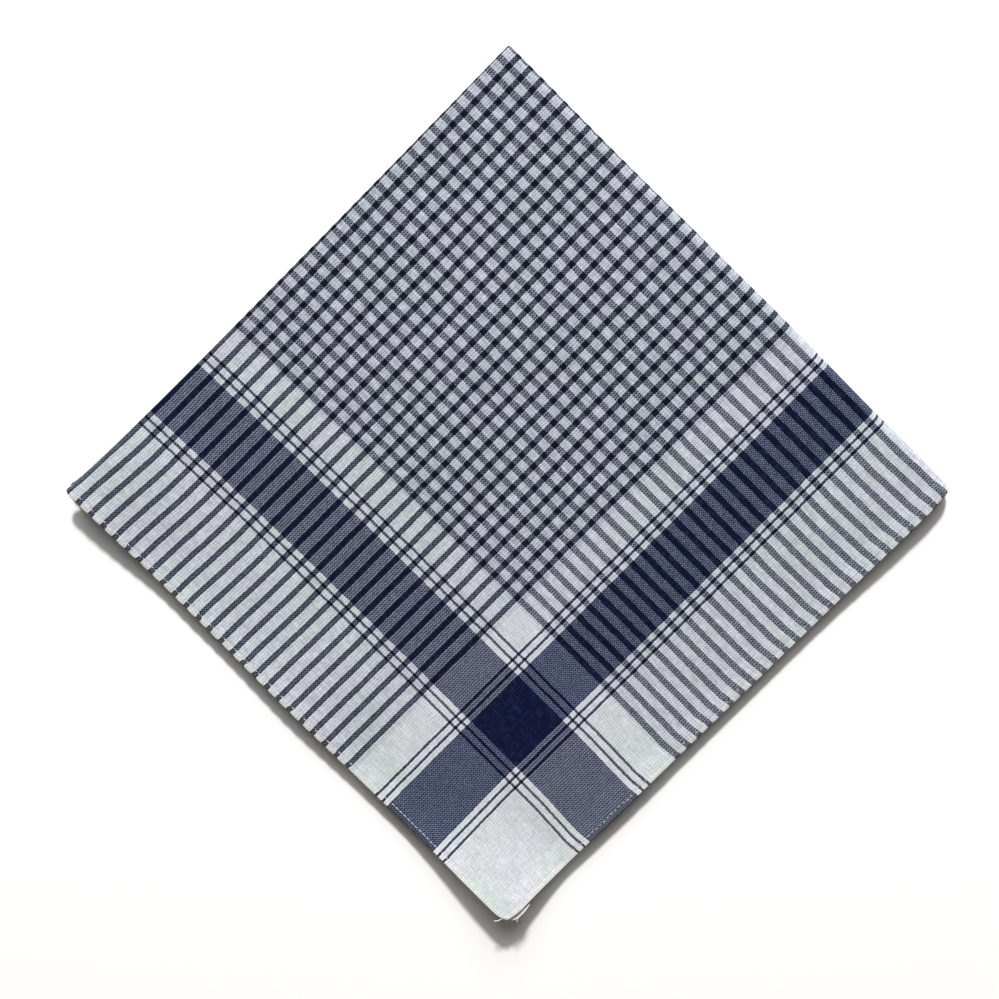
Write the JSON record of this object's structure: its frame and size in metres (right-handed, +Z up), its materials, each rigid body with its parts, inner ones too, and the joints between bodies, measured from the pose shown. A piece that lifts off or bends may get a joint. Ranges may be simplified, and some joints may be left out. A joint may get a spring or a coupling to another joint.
{
  "type": "folded cotton handkerchief",
  "caption": "A square woven cotton handkerchief with a check and a broad striped border, folded into a quarter and lying flat, with its free corner lifting.",
  "frame": {"origin": "middle of the box of the folded quarter, at the flat underside", "axes": "+Z up out of the pile; X runs across the first fold, which lies on the -X side; Y runs across the second fold, which lies on the +Y side; the free corner is at +X -Y"},
  "size_m": [0.2022, 0.2028, 0.012],
  "materials": {
    "cotton": "matt plain-woven cotton, white with navy stripes each way, a broad navy band near the hems, and a narrow rolled hem"
  },
  "bodies": {
    "root": {"handkerchief": "cotton"}
  },
  "joints": []
}
